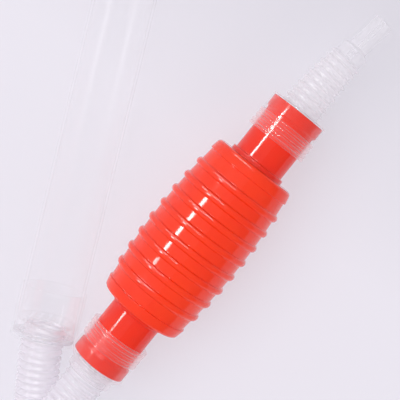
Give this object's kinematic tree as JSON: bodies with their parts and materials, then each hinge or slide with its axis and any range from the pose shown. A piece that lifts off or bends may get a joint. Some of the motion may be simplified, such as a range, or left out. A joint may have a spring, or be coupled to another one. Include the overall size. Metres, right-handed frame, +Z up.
{
  "type": "gravel vacuum siphon",
  "caption": "Hand-squeezed aquarium gravel siphon: red ribbed bulb with valves in its necks, bendable nozzle, corrugated hose and clear gravel tube.",
  "frame": {"origin": "the point on the surface it lies on, straight under the middle of the squeeze bulb", "axes": "+X along the pump towards its outlet nozzle, +Z up from the surface it lies on, +Y towards the side that the gravel tube lies on"},
  "size_m": [0.448, 0.2098, 0.0465],
  "materials": {
    "red_plastic": "glossy slightly translucent moulded polyethylene",
    "clear_plastic": "clear moulded polyethylene",
    "tube_plastic": "clear extruded tube",
    "valve_plastic": "white moulded polypropylene",
    "seal_rubber": "soft white silicone rubber",
    "clip_plastic": "white acetal"
  },
  "bodies": {
    "hose_side": {"intake_cuff": "clear_plastic", "inlet_seal_ring": "seal_rubber", "intake_hose": "clear_plastic", "tube_cuff": "clear_plastic", "tube_seal_ring": "seal_rubber"},
    "pump": {"squeeze_bulb": "red_plastic", "inlet_valve_seat": "valve_plastic", "outlet_valve_seat": "valve_plastic"},
    "inlet_valve": {"inlet_valve_poppet": "seal_rubber", "inlet_stem_clip": "clip_plastic"},
    "outlet_valve": {"outlet_valve_poppet": "seal_rubber", "outlet_stem_clip": "clip_plastic"},
    "outlet_end": {"outlet_cuff": "clear_plastic", "outlet_seal_ring": "seal_rubber", "outlet_bellows": "clear_plastic"},
    "nozzle": {"outlet_spigot": "clear_plastic"},
    "gravel_tube": {"gravel_tube": "tube_plastic", "gravel_screen": "clear_plastic"}
  },
  "joints": [
    {"name": "pump_swivel", "type": "hinge", "parent": "hose_side", "child": "pump", "pos_m": [-0.0686, 0, 0.02327], "axis": [1, 0, 0], "continuous": true},
    {"name": "inlet_valve_lift", "type": "slide", "parent": "pump", "child": "inlet_valve", "axis": [1, 0, 0], "range_m": [0, 0.0025]},
    {"name": "outlet_valve_lift", "type": "slide", "parent": "pump", "child": "outlet_valve", "axis": [1, 0, 0], "range_m": [0, 0.0025]},
    {"name": "outlet_swivel", "type": "hinge", "parent": "pump", "child": "outlet_end", "pos_m": [0.0686, 0, 0.02327], "axis": [1, 0, 0], "continuous": true},
    {"name": "nozzle_bend", "type": "hinge", "parent": "outlet_end", "child": "nozzle", "pos_m": [0.08539, -0.00044, 0.02327], "axis": [0, 0, 1], "range_deg": [-21, 35], "deforming": ["outlet_bellows"]},
    {"name": "tube_pull", "type": "slide", "parent": "hose_side", "child": "gravel_tube", "axis": [0.91, 0.4147, 0], "range_m": [0, 0.04]}
  ]
}
